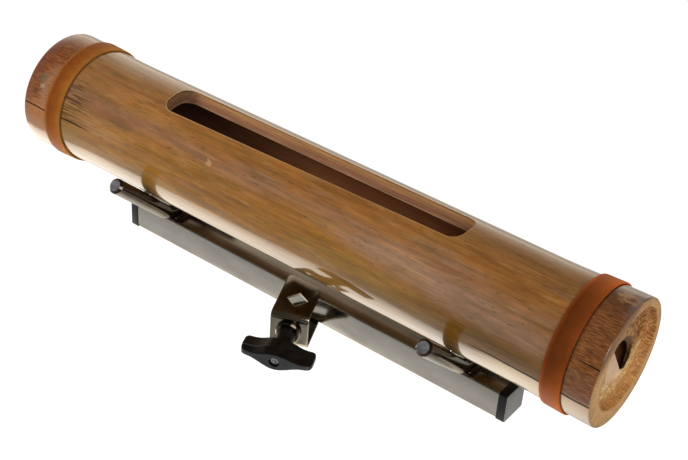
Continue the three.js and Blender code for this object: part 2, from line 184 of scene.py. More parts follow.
def add_node(tree, kind, *values, out=0, stops=(), **settings):
    """Adds a node with its settings, fills its inputs and returns one output, or all where out is None.

    A kind in capitals is a Math operation. Values go to the inputs in order, or by name where they are a
    dict, and are numbers, hex colours or links.
    """
    order = range(len(values))
    if kind.isupper():
        kind, settings["operation"] = "Math", kind
    elif kind in SHORT:
        kind, settings, order, out = SHORT[kind]
    made = tree.nodes.new(f"ShaderNode{kind}")
    for name, value in settings.items():
        setattr(made, name, value)
    inputs = values[0] if values and isinstance(values[0], dict) else dict(zip(order, values))
    for key, value in inputs.items():
        if isinstance(value, bpy.types.NodeSocket):
            tree.links.new(value, made.inputs[key])
        else:
            made.inputs[key].default_value = linear(value) if isinstance(value, str) else value
    for i, (place, code) in enumerate(stops):
        stop = made.color_ramp.elements[i] if i < 2 else made.color_ramp.elements.new(place)
        stop.position = place
        stop.color = linear(code)
    return made.outputs[out] if made.outputs and out is not None else made.outputs


def new_material(name):
    """A material and the function that adds nodes to it."""
    material = bpy.data.materials.new(name)
    material.use_nodes = True
    material.node_tree.nodes.clear()
    return material, partial(add_node, material.node_tree)


def surface(add, colour, rough, relief, strength, depth, more=None):
    """Ends a material: its colour, roughness and relief, whose depth is in millimetres, on one shader."""
    bump = add("Bump", {"Height": relief, "Strength": strength, "Distance": depth * MM})
    sockets = {"Base Color": colour, "Roughness": rough, "Normal": bump, **(more or {})}
    add("OutputMaterial", add("BsdfPrincipled", sockets))


def new_pattern(name, centre=(0, 0, 0)):
    """A material, the function that adds its nodes, and the place on its piece in millimetres."""
    material, add = new_material(name)
    metres = add("TexCoord", out=3)
    place = add("Mapping", {"Vector": metres, "Scale": (1 / MM,) * 3, "Location": -Vector(centre)})
    return material, add, place


def grain(add, place, size, detail=2.0, lot=0.0, warp=0.0):
    """A cloudy pattern with patches of about the given size in millimetres; lot picks another pattern."""
    scaled = add("VectorMath", place, [1 / s for s in size], (lot,) * 3, operation="MULTIPLY_ADD")
    return add("TexNoise", {"Vector": scaled, "Scale": 1.0, "Detail": detail, "Distortion": warp})


def oval(add, x, arc, middle, half, soft):
    """A soft-edged oval on the skin, 1 inside and 0 outside; soft is the share of its size that fades."""
    off = add("CombineXYZ", add("ADD", x, -middle[0]), add("ADD", arc, -middle[1]))
    reach = add("VectorMath", off, (1 / half[0], 1 / half[1], 0), operation="MULTIPLY")
    return add("Fade", add("Length", reach), 1 + soft, 1 - soft)


def crack(add, x, arc, wobble, start, stop, line, width):
    """A dry crack along the grain, 1 in the crack, which narrows towards its two ends."""
    bend = 2.4
    along = add("MapRange", x, start, stop, -1, 1)
    taper = add("SUBTRACT", 1.0, add("POWER", along, 6.0), use_clamp=True)
    off = add("SUBTRACT", arc, add("MULTIPLY_ADD", wobble, bend, line - bend / 2))
    near = add("Fade", add("ABSOLUTE", off), width, width * 0.4)
    return add("MULTIPLY", near, taper)


def skin_stain(add, place, x, arc, turn):
    """The skin's colours: long bands round the culm, purple and olive clouds, a dull left end, flecks."""
    # The culm grew in long bands, which drift a few millimetres to and fro
    drift = grain(add, place, (150, 26, 26), 3.0)
    band = add("ADD", add("MULTIPLY_ADD", drift, 0.9, -0.45), turn)
    colour = add("ValToRGB", add("MapRange", band, -pi, pi), stops=[
        (0.0, "#977145"), (0.1, "#8a5f36"), (0.2, "#93683c"), (0.29, "#866048"), (0.36, "#8d5d2f"),
        (0.44, "#8a6038"), (0.5, "#8f653d"), (0.555, "#8c5b2d"), (0.6, "#8e6036"), (0.635, "#86604a"),
        (0.67, "#8c5f31"), (0.71, "#865a24"), (0.745, "#82591c"), (0.78, "#8b6427"), (0.84, "#936e3a"),
        (1.0, "#977145")])
    drifting_x = add("MULTIPLY_ADD", drift, 60.0, x)
    # Clouds of purple-brown where the stain took badly, the largest beside the right band
    cloud = add("Fade", grain(add, place, (60, 9, 9), 4.0, 7.0), 0.52, 0.72, 0, 0.5)
    falling = add("MULTIPLY_ADD", x, -0.06, arc)
    smear = oval(add, drifting_x, add("MULTIPLY_ADD", cloud, 10.0, falling), (158, 34.5), (82, 8.5), 0.5)
    cloud = add("MAXIMUM", cloud, add("MULTIPLY", smear, 0.85))
    # Olive where the skin was still green
    green = add("Fade", grain(add, place, (70, 8, 8), 4.0, 53.0), 0.54, 0.72, 0, 0.4)
    patch = oval(add, drifting_x, arc, (90, 57), (48, 9), 0.6)
    green = add("MAXIMUM", green, add("MULTIPLY", patch, 0.5))
    dull = add("Fade", x, -70.0, -165.0, 0, 0.4)
    fleck = grain(add, place, (14, 2.2, 2.2), 4.0, 13.0, 0.4)
    rusty = add("MapRange", fleck, 0.56, 0.72, 0, 0.4)
    pale = add("MapRange", fleck, 0.44, 0.28, 0, 0.3)
    for mask, code in ((cloud, "#8c7064"), (green, "#8c6c36"), (dull, "#8d6a4b"), (rusty, "#a0602a"),
                       (pale, "#a3835a")):
        colour = add("Blend", mask, colour, code)
    return colour


def skin_tone(add, place, x, arc, streak, fibre):
    """Light and dark on the skin: streaks 3 mm wide, fibres under 1 mm, blots, dark vessels, painted light
    and shade.
    """
    vessel = add("Fade", grain(add, place, (6, 0.6, 0.6), 1.0, 19.0), 0.64, 0.74, 0, 0.45)
    blot = add("MapRange", grain(add, place, (24, 5, 5), 5.0, 57.0), 0.3, 0.7, 0.87, 1.2)
    # Painted light and shade: darker to the right end and at the right rod's reflection, lighter low on the
    # left
    lit_low_left = oval(add, x, arc, (-140, 62), (90, 20), 0.6)
    rod_reflection_shade = oval(add, x, arc, (128, 64), (80, 14), 0.6)
    painted_light = add("MULTIPLY_ADD", lit_low_left, 0.1, add("Fade", x, 90.0, 170.0, 1.0, 0.84))
    painted_light = add("MULTIPLY_ADD", rod_reflection_shade, -0.33, painted_light)
    tone = streak
    for part in (add("MapRange", fibre, 0.3, 0.7, 0.84, 1.12), blot, add("SUBTRACT", 1.0, vessel), painted_light):
        tone = add("MULTIPLY", tone, part)
    return tone


def node_zones(add, place, x, arc, colour):
    """Beyond the bands the nodes begin: darker, reddish, with short ripples, and paler low down, which is
    painted light.
    """
    ripple = grain(add, place, (5, 0.5, 0.5), 3.0, 23.0, 0.4)
    for edge, inward, codes, lit_arcs, lit_share, lit_code in (
            (band_edges[0], 1, ("#582a14", "#7b4420", "#9f6735"), (44.0, 54.0), 0.55, "#b0763f"),
            (band_edges[3], -1, ("#4a2914", "#6b3e1e", "#8a5a2f"), (63.0, 67.0), 0.8, "#a88055")):
        rippled = add("ValToRGB", ripple, stops=zip((0.3, 0.5, 0.68), codes))
        # Painted light: paler low down, as lit from the pale floor
        rippled = add("Blend", add("Fade", arc, *lit_arcs, 0, lit_share), rippled, lit_code)
        zone = add("Fade", x, edge + 4 * inward, edge + inward)
        colour = add("Blend", zone, colour, rippled)
    return colour


def skin_marks(add, place, x, arc, fibre, colour):
    """Marks of growth and use: scars of roots and a bud, a lifted flake at the left band, a pale dent."""
    bend = 8.0
    bent = [add("MULTIPLY_ADD", grain(add, place, (5, 3, 3), 3.0, lot), bend, way)
            for way, lot in ((x, 31.0), (arc, 33.0))]
    for middle, half, soft, code, weight in (
            ((-214, 10), (6, 46), 0.8, "#6a3d33", 0.7), ((-199, 38), (6, 16), 0.6, "#a5795a", 0.55),
            ((-205, 33), (3.4, 2.4), 0.5, "#5d5640", 0.8), ((-203.5, 38.5), (2.2, 1.6), 0.5, "#8e8a72", 0.8),
            ((-207, 42), (2.6, 1.6), 0.5, "#503524", 0.8), ((-134, 38.5), (9, 1.7), 0.8, "#574330", 0.6),
            ((-150, 36), (34, 4.5), 0.8, "#6f4834", 0.6), ((-176, 61), (7.5, 6.5), 0.12, "#8a672a", 0.9),
            ((-61, 35), (1.6, 2.2), 0.4, "#b98a62", 0.8), ((209, -3), (14, 14), 0.5, "#4d2e20", 0.7),
            ((210, -3.2), (6.8, 4.6), 0.25, "#a0774c", 0.95),
            ((210.5, -2.2), (3.6, 1.1), 0.5, "#4a2a18", 0.9), ((216, -8), (3.2, 16), 0.8, "#7c7272", 0.6)):
        patchy = add("MapRange", fibre, 0.35, 0.6, 0.55 * weight, weight)
        mark = oval(add, *bent, [m + bend / 2 for m in middle], half, soft)
        colour = add("Blend", add("MULTIPLY", mark, patchy), colour, code)
    return colour


def skin_cracks(add, place, x, arc):
    """Cracks that the bands hold shut, fine checks beside the left band, and a painted shadow along the
    bands.
    """
    shadow_off = 0.3
    checks = add("Fade", grain(add, place, (40, 0.9, 0.9), 1.0, 41.0), 0.53, 0.6)
    beside = oval(add, x, arc, (band_edges[1] + 4, 39), (16, 14), 0.5)
    dark = add("MULTIPLY", checks, add("MULTIPLY", beside, 0.6))
    wobble = grain(add, place, (30, 30, 30), 2.0, 37.0)
    for start, stop, line, width in ((-224, -156, 52.2, 0.65), (136, 226, 65.8, 0.95), (203, 224, 41.9, 0.5)):
        dark = add("MAXIMUM", dark, crack(add, x, arc, wobble, start, stop, line, width))
    # Painted shadow: a thin dark line along the right edge of each band
    for edge in (band_edges[1], band_edges[3]):
        off = add("ABSOLUTE", add("ADD", x, -edge - shadow_off))
        dark = add("MAXIMUM", dark, add("Fade", off, 0.65, 0.2, 0, 0.45))
    return dark


def slot_arris_highlight(add, x, y, z):
    """A painted highlight along the slot's arris, strongest on the left."""
    over_x = add("ADD", add("ABSOLUTE", add("ADD", x, -slot_shift)), slot_corner - slot_length / 2)
    lean = add("MapRange", x, *slot_ends, *slot_leans)
    half = add("MapRange", x, *slot_ends, *(width / 2 - slot_corner for width in slot_widths))
    over_y = add("SUBTRACT", add("ABSOLUTE", add("SUBTRACT", y, lean)), half)
    outside = add("Length", add("CombineXYZ", add("MAXIMUM", over_x, 0.0), add("MAXIMUM", over_y, 0.0)))
    arris = add("MapRange", outside, slot_corner + 0.8, slot_corner + 0.3)
    highlight_share = add("MapRange", x, *slot_ends, 0.65, 0.25)
    return add("MULTIPLY", add("MULTIPLY", arris, highlight_share), add("GREATER_THAN", z, 0.0))


def bamboo_skin():
    """Bamboo skin, stained and flooded with glossy lacquer: long warm streaks under a mirror-smooth coat."""
    material, add, place = new_pattern("varnished_bamboo_skin", culm_centre)
    x, y, z = add("SeparateXYZ", place, out=None)
    # Angle round the culm, 0 on top and growing towards the player, and the arc that it makes on the skin
    turn = add("ARCTAN2", add("MULTIPLY", y, -1.0), z)
    arc = add("MULTIPLY", turn, culm_radius)
    streak = add("MapRange", grain(add, place, (55, 3.0, 3.0), 5.0, 3.0), 0.3, 0.7, 0.79, 1.21)
    fibre = grain(add, place, (16, 0.7, 0.7), 3.0, 11.0)
    colour = skin_stain(add, place, x, arc, turn)
    for tint in (skin_tone(add, place, x, arc, streak, fibre), "#fffae2"):
        colour = add("Tint", 1.0, colour, tint)
    # Below the long crack at the right a pale cream is painted in, a painted reflection of the lit table
    table_reflection = add("MULTIPLY", add("Fade", arc, 64.5, 67.0), add("Fade", x, 132.0, 165.0, 0, 0.7))
    colour = add("Blend", table_reflection, colour, "#c2a578")
    colour = node_zones(add, place, x, arc, colour)
    colour = skin_marks(add, place, x, arc, fibre, colour)
    dark = skin_cracks(add, place, x, arc)
    # Cracks and checks are dark, and so is the painted shadow along the bands
    colour = add("Blend", dark, colour, "#140803")
    # Painted highlight along the slot's arris
    colour = add("Blend", slot_arris_highlight(add, x, y, z), colour, "#b98f5f")
    # Grain lies under the lacquer, which itself only swells and sinks over a centimetre or more
    relief = add("ADD", fibre, add("MULTIPLY", dark, -3.0))
    swell = grain(add, place, (60, 12, 12), 1.0, 43.0)
    flow = add("Bump", {"Height": swell, "Strength": 1.0, "Distance": 0.12 * MM})
    gloss = add("MapRange", streak, 0.7, 1.2, 0.42, 0.3)
    # The coat is broken at cracks and the painted band shadows, and thin underneath, where the culm lay while
    # it dried
    thin_coat = add("Level", add("Fade", y, -26.0, -20.0), 1.0, add("Fade", z, -22.0, -32.0, 1.0, 0.15))
    whole = add("MULTIPLY_ADD", dark, -2.0, 1.0, use_clamp=True)
    surface(add, colour, gloss, relief, 0.6, 0.05, {
        "Specular IOR Level": 0.1, "Coat Weight": add("MULTIPLY", whole, thin_coat), "Coat Roughness": 0.04,
        "Coat IOR": 1.47, "Coat Normal": flow})
    return material


def sawn_end():
    """Sawn bamboo, sealed: pale ground full of dark fibre bundles, closer together towards the skin."""
    bundle_gap = 1.3
    material, add, place = new_pattern("sawn_bamboo_end", culm_centre)
    _, y, z = add("SeparateXYZ", place, out=None)
    depth = add("MapRange", add("Length", add("CombineXYZ", y, z)), bore_radius, culm_right_radius)
    colour = add("ValToRGB", depth, stops=[
        (0.0, "#bd8444"), (0.12, "#d0a068"), (0.6, "#c99a61"), (0.85, "#c69a66"), (1.0, "#a87f52")])
    # The bud's scar runs over the rim at the top
    up = add("MULTIPLY_ADD", y, -0.6, z)
    colour = add("Blend", add("Fade", up, 28.0, 42.0, 0, 0.75), colour, "#6b4c3c")
    clouds = add("MapRange", grain(add, place, (9, 9, 9), 3.0), 0.3, 0.7, 0.82, 1.14)
    colour = add("Tint", 1.0, colour, clouds)
    bundle = add("TexVoronoi", {"Vector": place, "Scale": 1 / bundle_gap})
    close = add("Level", depth, 0.2, 0.42)
    dots = add("Fade", add("SUBTRACT", bundle, close), 0.08, -0.08, 0, 0.45)
    colour = add("Blend", dots, colour, "#6d4420")
    saw = grain(add, place, (4, 40, 1.1), 2.0, 5.0)
    surface(add, colour, add("Level", saw, 0.42, 0.62), add("SUBTRACT", saw, dots), 0.7, 0.1,
            {"Specular IOR Level": 0.15})
    return material


def node_wall():
    """The node's thin wall and the stub of bore round it: torn pale wood, with rusty inner skin on it."""
    material, add, place = new_pattern("bamboo_node_wall", culm_centre)
    x, y, z = add("SeparateXYZ", place, out=None)
    torn = grain(add, place, (5, 4.2, 4.2), 4.0, 0.0, 1.5)
    blotch = grain(add, place, (6, 5, 5), 3.0, 9.0)
    # The wall is ochre above and pale below, partly its own colour: painted light below, painted shade under
    # the rim
    low = add("Fade", add("MULTIPLY_ADD", blotch, 16.0, z), 8.0, -10.0)
    ochre, pale = (add("ValToRGB", torn, stops=zip((0.36, 0.47, 0.56, 0.68), codes)) for codes in (
        ("#643811", "#8f5520", "#b37b36", "#dcb373"), ("#b47f3c", "#dfb06e", "#efca8c", "#fbe6bc")))
    face = add("Blend", low, ochre, pale)
    # The hole through it is painted dark brown
    off = add("VectorMath", add("CombineXYZ", 0, y, z), end_recess_shift, operation="SUBTRACT")
    reach = add("Length", off)
    inside = add("Fade", x, node_face - 0.2, node_face - 0.9, 0, 0.95)
    hole = add("MULTIPLY", add("MapRange", reach, 18.0, 16.5), inside)
    face = add("Blend", hole, face, "#5d3717")
    # Inner skin clings to the stub in rusty patches with strokes along the culm
    stroke = grain(add, place, (7, 0.6, 0.6), 3.0, 17.0)
    rust = add("ValToRGB", stroke, stops=[(0.34, "#71390f"), (0.5, "#a56529"), (0.64, "#d6a25c")])
    bare = add("ValToRGB", stroke, stops=[(0.3, "#97713c"), (0.5, "#b18a50"), (0.7, "#c6a26a")])
    inner_skin = add("Blend", add("Fade", blotch, 0.25, 0.45), bare, rust)
    # Painted light: the inner skin is paler low down
    inner_skin = add("Blend", add("MULTIPLY", low, 0.3), inner_skin, "#e0ab66")
    stub = add("Fade", add("MULTIPLY_ADD", blotch, 2.0, reach), 29.2, 31.0)
    colour = add("Blend", stub, face, inner_skin)
    # The rim is worn
    outward = add("ADD", add("ABSOLUTE", x), add("MULTIPLY", blotch, 2.4))
    worn = add("Fade", outward, node_face + 5.4, node_face + 6.0, 0, 0.7)
    colour = add("Blend", worn, colour, "#c49c62")
    surface(add, colour, add("Level", blotch, 0.25, 0.5), add("ADD", torn, stroke), 0.9, 0.6,
            {"Specular IOR Level": 0.4})
    return material


def bore_wall():
    """The raw inside of the culm: dull brown with long shallow furrows."""
    material, add, place = new_pattern("raw_bamboo_bore", culm_centre)
    furrow = grain(add, place, (60, 2.5, 2.5), 3.0)
    clouds = grain(add, place, (40, 14, 14), 2.0, 5.0)
    both = add("MULTIPLY", add("ADD", furrow, clouds), 0.5)
    colour = add("ValToRGB", both, stops=[(0.3, "#8a5330"), (0.5, "#a3683f"), (0.7, "#b57d50")])
    # The bore is darker towards both ends, most at the left
    along = add("MapRange", add("SeparateXYZ", place), -culm_half, culm_half)
    end_darkening = add("ValToRGB", along, stops=[
        (0.2, "#8a7a70"), (0.36, "#b8b0a8"), (0.46, "#ffffff"), (0.75, "#ffffff"), (0.92, "#d0c0b0")])
    colour = add("Tint", 1.0, colour, end_darkening)
    surface(add, colour, add("Level", clouds, 0.65, 0.85), furrow, 0.6, 0.3)
    return material


def slot_wall():
    """The slot's sawn wall, lacquered: dark skin line on top, then tan, then red fibres towards the bore."""
    material, add, place = new_pattern("sawn_bamboo_slot", culm_centre)
    x, y, z = add("SeparateXYZ", place, out=None)
    drift = grain(add, place, (70, 6, 6), 2.0)
    fibre = grain(add, place, (30, 0.7, 0.7), 3.0, 3.0)
    reach = add("Length", add("CombineXYZ", y, z))
    depth = add("MULTIPLY_ADD", drift, 1.6, add("ADD", reach, -0.8))
    layers = add("ValToRGB", add("MapRange", depth, bore_radius, culm_radius), stops=[
        (0.0, "#cfa77a"), (0.1, "#b07f5d"), (0.3, "#a87557"), (0.5, "#b37f58"), (0.62, "#b98758"),
        (0.88, "#bb8b5b"), (0.95, "#946231"), (1.0, "#5f3a1b")])
    # The slot's left end wall is darker, and the wall darkens towards the right
    left_end_dark = add("MapRange", x, slot_ends[0] + 10, slot_ends[0] + 3, 1.0, 0.5)
    tone = add("MULTIPLY", add("MapRange", fibre, 0.3, 0.7, 0.62, 1.22), left_end_dark)
    tone = add("MULTIPLY", tone, add("MapRange", x, 0.0, 100.0, 1.0, 0.8))
    colour = add("Tint", 1.0, layers, tone)
    surface(add, colour, add("Level", fibre, 0.4, 0.6), fibre, 0.6, 0.12,
            {"Coat Weight": 0.3, "Coat Roughness": 0.25})
    return material


def ledge_face():
    """The flat left where the node wall was pared away: clean pinkish tan with faint tool marks."""
    material, add, place = new_pattern("pared_bamboo_ledge", culm_centre)
    clouds = grain(add, place, (6, 6, 6), 3.0)
    tool = grain(add, place, (20, 18, 0.9), 2.0, 4.0)
    both = add("MULTIPLY", add("ADD", clouds, tool), 0.5)
    colour = add("ValToRGB", both, stops=[(0.32, "#cfa983"), (0.5, "#dfbc98"), (0.66, "#ebcdab")])
    surface(add, colour, add("Level", tool, 0.5, 0.7), tool, 0.5, 0.08, {"Specular IOR Level": 0.15})
    return material


def amber_rubber(name, node, margin, middle, body, front_shade, rim_light):
    """Natural rubber sheet, cut into a band: amber, a little see-through, paler at its thin edges, satin."""
    low, high = box_mm(node)
    material, add, place = new_pattern(name, (low + high) / 2)
    clouds = grain(add, place, (12, 9, 9), 3.0)
    bloom = grain(add, place, (0.9, 0.9, 0.9), 2.0, 5.0)
    across = add("MULTIPLY", add("SeparateXYZ", place), 1 / (high.x - low.x))
    across = add("ADD", add("MULTIPLY_ADD", clouds, 0.3, 0.35), across)
    colour = add("ValToRGB", across, stops=[(0.02, margin), (0.2, middle), (0.62, body), (0.98, margin)])
    # Painted light: lighter at top and bottom, where light comes through the curving rubber, darker in front
    front = add("Dot", place, (0, -0.758, 0.652))
    grip = add("Fade", front, 8.0, 39.0, rim_light, front_shade)
    tone = add("MULTIPLY", add("MapRange", add("ADD", clouds, bloom), 0.7, 1.3, 0.85, 1.12), grip)
    colour = add("Tint", 1.0, colour, tone)
    surface(add, colour, add("Level", clouds, 0.42, 0.6), bloom, 0.4, 0.03, {
        "Specular IOR Level": 0.08, "Subsurface Weight": 0.25, "Subsurface Radius": (1.0, 0.35, 0.1),
        "Subsurface Scale": 1.5 * MM})
    return material


def black_nickel(name, codes, roughness):
    """Steel under black nickel plate: a dark warm mirror on bent parts, satin along the drawn tube."""
    material, add, place = new_pattern(name)
    haze = grain(add, place, (30, 12, 12), 3.0)
    drawn = grain(add, place, (60, 0.7, 0.7), 2.0, 3.0)
    colour = add("ValToRGB", haze, stops=zip((0.3, 0.7), codes))
    hazy = add("MapRange", haze, 0.3, 0.7, *roughness)
    rough = add("ADD", hazy, add("MapRange", drawn, 0.3, 0.7, -0.02, 0.04))
    surface(add, colour, rough, drawn, 0.25, 0.01, {"Metallic": 1.0})
    return material


def zinc_steel():
    """Bright zinc on turned steel: pale, slightly blue, with fine mottling."""
    material, add, place = new_pattern("zinc_plated_steel")
    mottle = grain(add, place, (1.6, 1.6, 1.6), 3.0)
    colour = add("ValToRGB", mottle, stops=[(0.3, "#8a8b8a"), (0.7, "#a9aaa8")])
    surface(add, colour, add("Level", mottle, 0.3, 0.5), mottle, 0.2, 0.02, {"Metallic": 1.0})
    return material


def sawn_steel():
    """The rods' sawn tips, thinly plated: dull grey with arcs left by the saw."""
    material, add, place = new_pattern("sawn_steel_tip")
    arcs = grain(add, place, (0.5, 9, 0.7), 2.0)
    tarnish = grain(add, place, (3, 3, 3), 2.0, 6.0)
    colour = add("ValToRGB", tarnish, stops=[(0.3, "#5a585c"), (0.7, "#858388")])
    surface(add, colour, add("Level", arcs, 0.4, 0.6), arcs, 0.5, 0.05, {"Metallic": 0.5})
    return material


def black_plastic(name, grey_way, grey_from, grey_to, grey_share):
    """Black nylon, moulded: near-black satin with a fine spark-eroded grain, painted grey over a stretch,
    which on the handle's ridge is a painted highlight.
    """
    material, add, place = new_pattern(name)
    eroded = grain(add, place, (0.6, 0.6, 0.6), 2.0)
    rub = grain(add, place, (9, 5, 5), 3.0, 4.0)
    colour = add("ValToRGB", rub, stops=[(0.35, "#080707"), (0.55, "#0c0b0b"), (0.72, "#181717")])
    along = add("Dot", place, grey_way)
    worn = add("COMPARE", along, (grey_from + grey_to) / 2, (grey_to - grey_from) / 2)
    greying = add("MULTIPLY", worn, add("MapRange", rub, 0.3, 0.6, 0.8 * grey_share, grey_share))
    colour = add("Blend", greying, colour, "#8c8e8e")
    surface(add, colour, add("Level", rub, 0.25, 0.4), eroded, 0.35, 0.04, {"Specular IOR Level": 0.25})
    return material


culm_materials = [bamboo_skin(), sawn_end(), node_wall(), bore_wall(), slot_wall(), ledge_face()]
left_rubber = amber_rubber("amber_rubber_left", "left_band", "#9d6327", "#804112", "#8f4f18", 0.87, 1.6)
right_rubber = amber_rubber("amber_rubber_right", "right_band", "#7b3b10", "#5f2a07", "#6a340d", 0.85, 3.4)
satin_nickel = black_nickel("satin_black_nickel", ("#a59f95", "#b7b1a6"), (0.1, 0.16))
dark_nickel = black_nickel("deep_black_nickel", ("#4a4139", "#5a5047"), (0.1, 0.18))
# A darker plate, painted on as shade on the bar's lower front corner and the strap's upper flange
shaded_nickel = black_nickel("shaded_black_nickel", ("#665d50", "#756c5f"), (0.1, 0.18))
polished_nickel = black_nickel("polished_black_nickel", ("#7c7566", "#8c8576"), (0.08, 0.15))
zinc = zinc_steel()
cut_steel = sawn_steel()
# The right plug's end face is painted grey
plug_plastic = black_plastic("grey_ended_black_nylon", X, plug_end - 0.4, plug_end + 1, 0.9)
# The handle's plastic: a grey line along the left blade's ridge is a painted highlight
plastic = black_plastic("black_moulded_nylon", strap_way, handle_ridge - 0.4, handle_ridge + 0.4, 0.16)
# The handle's front is painted a lighter grey
grey_front_plastic = black_plastic("grey_front_black_nylon", strap_way, 0.0, 100.0, 0.1)


def finish(name, bm, materials, node, body="root", sharp=38):
    """Turns a drawing in millimetres into a piece in its place, which stands for its CAD node."""
    ops.scale(bm, vec=(MM,) * 3, verts=bm.verts)
    for face in bm.faces:
        face.smooth = True
    for edge in bm.edges:
        edge.smooth = edge.calc_face_angle(0) < radians(sharp)
    piece = mesh_object(name, bm)
    for material in materials:
        piece.data.materials.append(material)
    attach(piece, body)
    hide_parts(node)


def only(parts, kind):
    return [part for part in parts if isinstance(part, kind)]


def span(edge, axis):
    """How far an edge runs along X, Y or Z, which are 0, 1 and 2."""
    return abs(edge.verts[0].co[axis] - edge.verts[1].co[axis])


def merge(bm):
    ops.remove_doubles(bm, verts=bm.verts, dist=SAME)


def face_out(bm):
    ops.recalc_face_normals(bm, faces=bm.faces)


def shift(bm, way):
    ops.translate(bm, vec=way, verts=bm.verts)


def rotate(bm, angle, axis):
    ops.rotate(bm, cent=(0, 0, 0), matrix=Matrix.Rotation(angle, 3, axis), verts=bm.verts)


def close_up(bm):
    """Merges the seams and poles of a drawn shape and turns its faces outwards."""
    merge(bm)
    ops.dissolve_degenerate(bm, edges=bm.edges, dist=SAME)
    face_out(bm)


def paint(bm, rule):
    """Gives each face the material number that a rule finds for it."""
    for face in bm.faces:
        face.material_index = rule(face)


def bevel(bm, parts, offset, segments, affect="EDGES"):
    ops.bevel(bm, geom=parts, offset=offset, affect=affect, segments=segments, profile=0.5, material=-1)


def draw_line(bm, points, close=False):
    """Draws a line through points, to be spun."""
    verts = [bm.verts.new(p) for p in points]
    pairs = zip(verts, verts[1:] + verts[:close])
    return verts + [bm.edges.new(pair) for pair in pairs]


def spin_line(bm, points, axis, steps, close=False):
    """Draws a line through points and spins it a full turn about an axis through the origin."""
    line = draw_line(bm, points, close)
    ops.spin(bm, geom=line, cent=(0, 0, 0), axis=axis, angle=4 * QUARTER, steps=steps, use_merge=True)


def grow(bm, edges, move):
    """Extrudes a line of edges by a move and returns the line's new place."""
    made = ops.extrude_edge_only(bm, edges=edges)["geom"]
    fresh = set(only(made, BMVert))
    ops.translate(bm, vec=move, verts=list(fresh))
    return [e for e in only(made, BMEdge) if fresh.issuperset(e.verts)]


def new_box(size):
    """A box of the given size round the origin."""
    bm = bmesh.new()
    ops.create_cube(bm, size=1)
    ops.scale(bm, vec=size, verts=bm.verts)
    return bm


# Turns that lay a cylinder along the culm, towards the player or down
LAID = {"along": Matrix.Rotation(QUARTER, 4, "Y"), "player": Matrix.Rotation(QUARTER, 4, "X"),
        "down": Matrix.Rotation(2 * QUARTER, 4, "X")}


def cylinder(radius, start, stop, way, segments, number=SKIN):
    """A closed cylinder from one distance to another along a way, all of one material number."""
    bm = bmesh.new()
    ops.create_cone(bm, cap_ends=True, segments=segments, radius1=radius, radius2=radius, depth=stop - start)
    lay = LAID[way] @ Matrix.Translation(Z * (start + stop) / 2)
    ops.transform(bm, matrix=lay, verts=bm.verts)
    paint(bm, lambda face: number)
    return bm


def drawn_from(target, *others):
    """The shape that an object's modifiers make; that object and the others leave the scene."""
    bm = bmesh.new()
    bm.from_object(target, bpy.context.evaluated_depsgraph_get())
    for thing in (target, *others):
        mesh = thing.data
        bpy.data.objects.remove(thing)
        bpy.data.meshes.remove(mesh)
    return bm


def carve(bm, *cutters):
    """Cuts closed shapes out of a closed shape; the cut faces keep the cutter's material number."""
    target, *tools = [mesh_object("carving", shape) for shape in (bm, *cutters)]
    for thing in (target, *tools):
        for _ in culm_materials:
            thing.data.materials.append(None)
    for tool in tools:
        cut = target.modifiers.new("cut", "BOOLEAN")
        cut.object = tool
        cut.operation = "DIFFERENCE"
        cut.solver = "EXACT"
        cut.material_mode = "INDEX"
    return drawn_from(target, *tools)


def eased(share):
    """A share that starts and stops gently."""
    return share * share * (3 - 2 * share)


def culm_radius_at(x):
    """The culm swells smoothly towards the node at each end."""
    end_radius = culm_left_radius if x < 0 else culm_right_radius
    share = max(0, abs(x) - culm_half + culm_swell_reach) / culm_swell_reach
    return culm_radius + (end_radius - culm_radius) * eased(share)


def hollow_at(x):
    """Radius of the recess at the end where x lies."""
    return end_recess_radius if x > 0 else bore_radius


def quarter_round(x, radius, deep, high, steps=4):
    """Points of a quarter of an oval, which starts outwards from a point and ends along the culm."""
    turns = [QUARTER * i / steps for i in range(steps + 1)]
    return [(x + deep * (1 - cos(turn)), radius + high * sin(turn)) for turn in turns]


def culm_outline(end):
    """Half of the culm's outline, from the middle of a node wall over the rim to the middle of the culm."""
    ring_gap = 8.0
    rim = culm_radius_at(end * culm_half)
    hollow = hollow_at(end)
    # At the right the wall was gouged round the hole, which leaves a lip there
    gouge = gouge_depth if end > 0 else 0.0
    points = [(node_face, 0), (node_face, dish_start), (node_face - gouge * 0.3, dish_start + 2),
              (node_face - gouge * 0.85, dish_start + 4.5)]
    points += quarter_round(node_face - gouge, hollow - dish, dish + gouge, dish)
    points += [(culm_half - 0.7, hollow), (culm_half - 0.2, hollow + 0.3), (culm_half, hollow + 0.9)]
    points += quarter_round(culm_half, rim - culm_end_round, -culm_end_round, culm_end_round)
    rings = int((culm_half - culm_end_round) // ring_gap)
    points += [(i * ring_gap, culm_radius_at(end * i * ring_gap)) for i in range(rings, 0, -1)]
    return [(end * x, 0, radius) for x, radius in points]


def culm_number(face):
    """Which of the culm's materials a face has before anything is cut."""
    middle = face.calc_center_median()
    if hypot(middle.y, middle.z) < hollow_at(middle.x) + 0.2:
        return PITH
    return END_GRAIN if abs(face.normal.x) > 0.6 else SKIN


def tear_node_walls(bm):
    """The saw tore the node walls, and the right end's recess lies off the axis."""
    tear_size, tear_depth, tear_share = 5.0, 0.8, 0.02
    for v in bm.verts:
        reach, hollow = hypot(v.co.y, v.co.z), hollow_at(v.co.x)
        if abs(v.co.x) < node_face - 2.5 or not dish_start + 1 < reach < hollow + 1:
            continue
        torn = noise.noise(v.co / tear_size)
        v.co.x += torn * tear_depth * (abs(v.co.x) < culm_half - 1)
        v.co.yz = v.co.yz * (1 + torn * tear_share * (reach > hollow - 1))
        if v.co.x > 0:
            v.co += end_recess_shift * min(1, (reach - dish_start) / (hollow - dish_start))


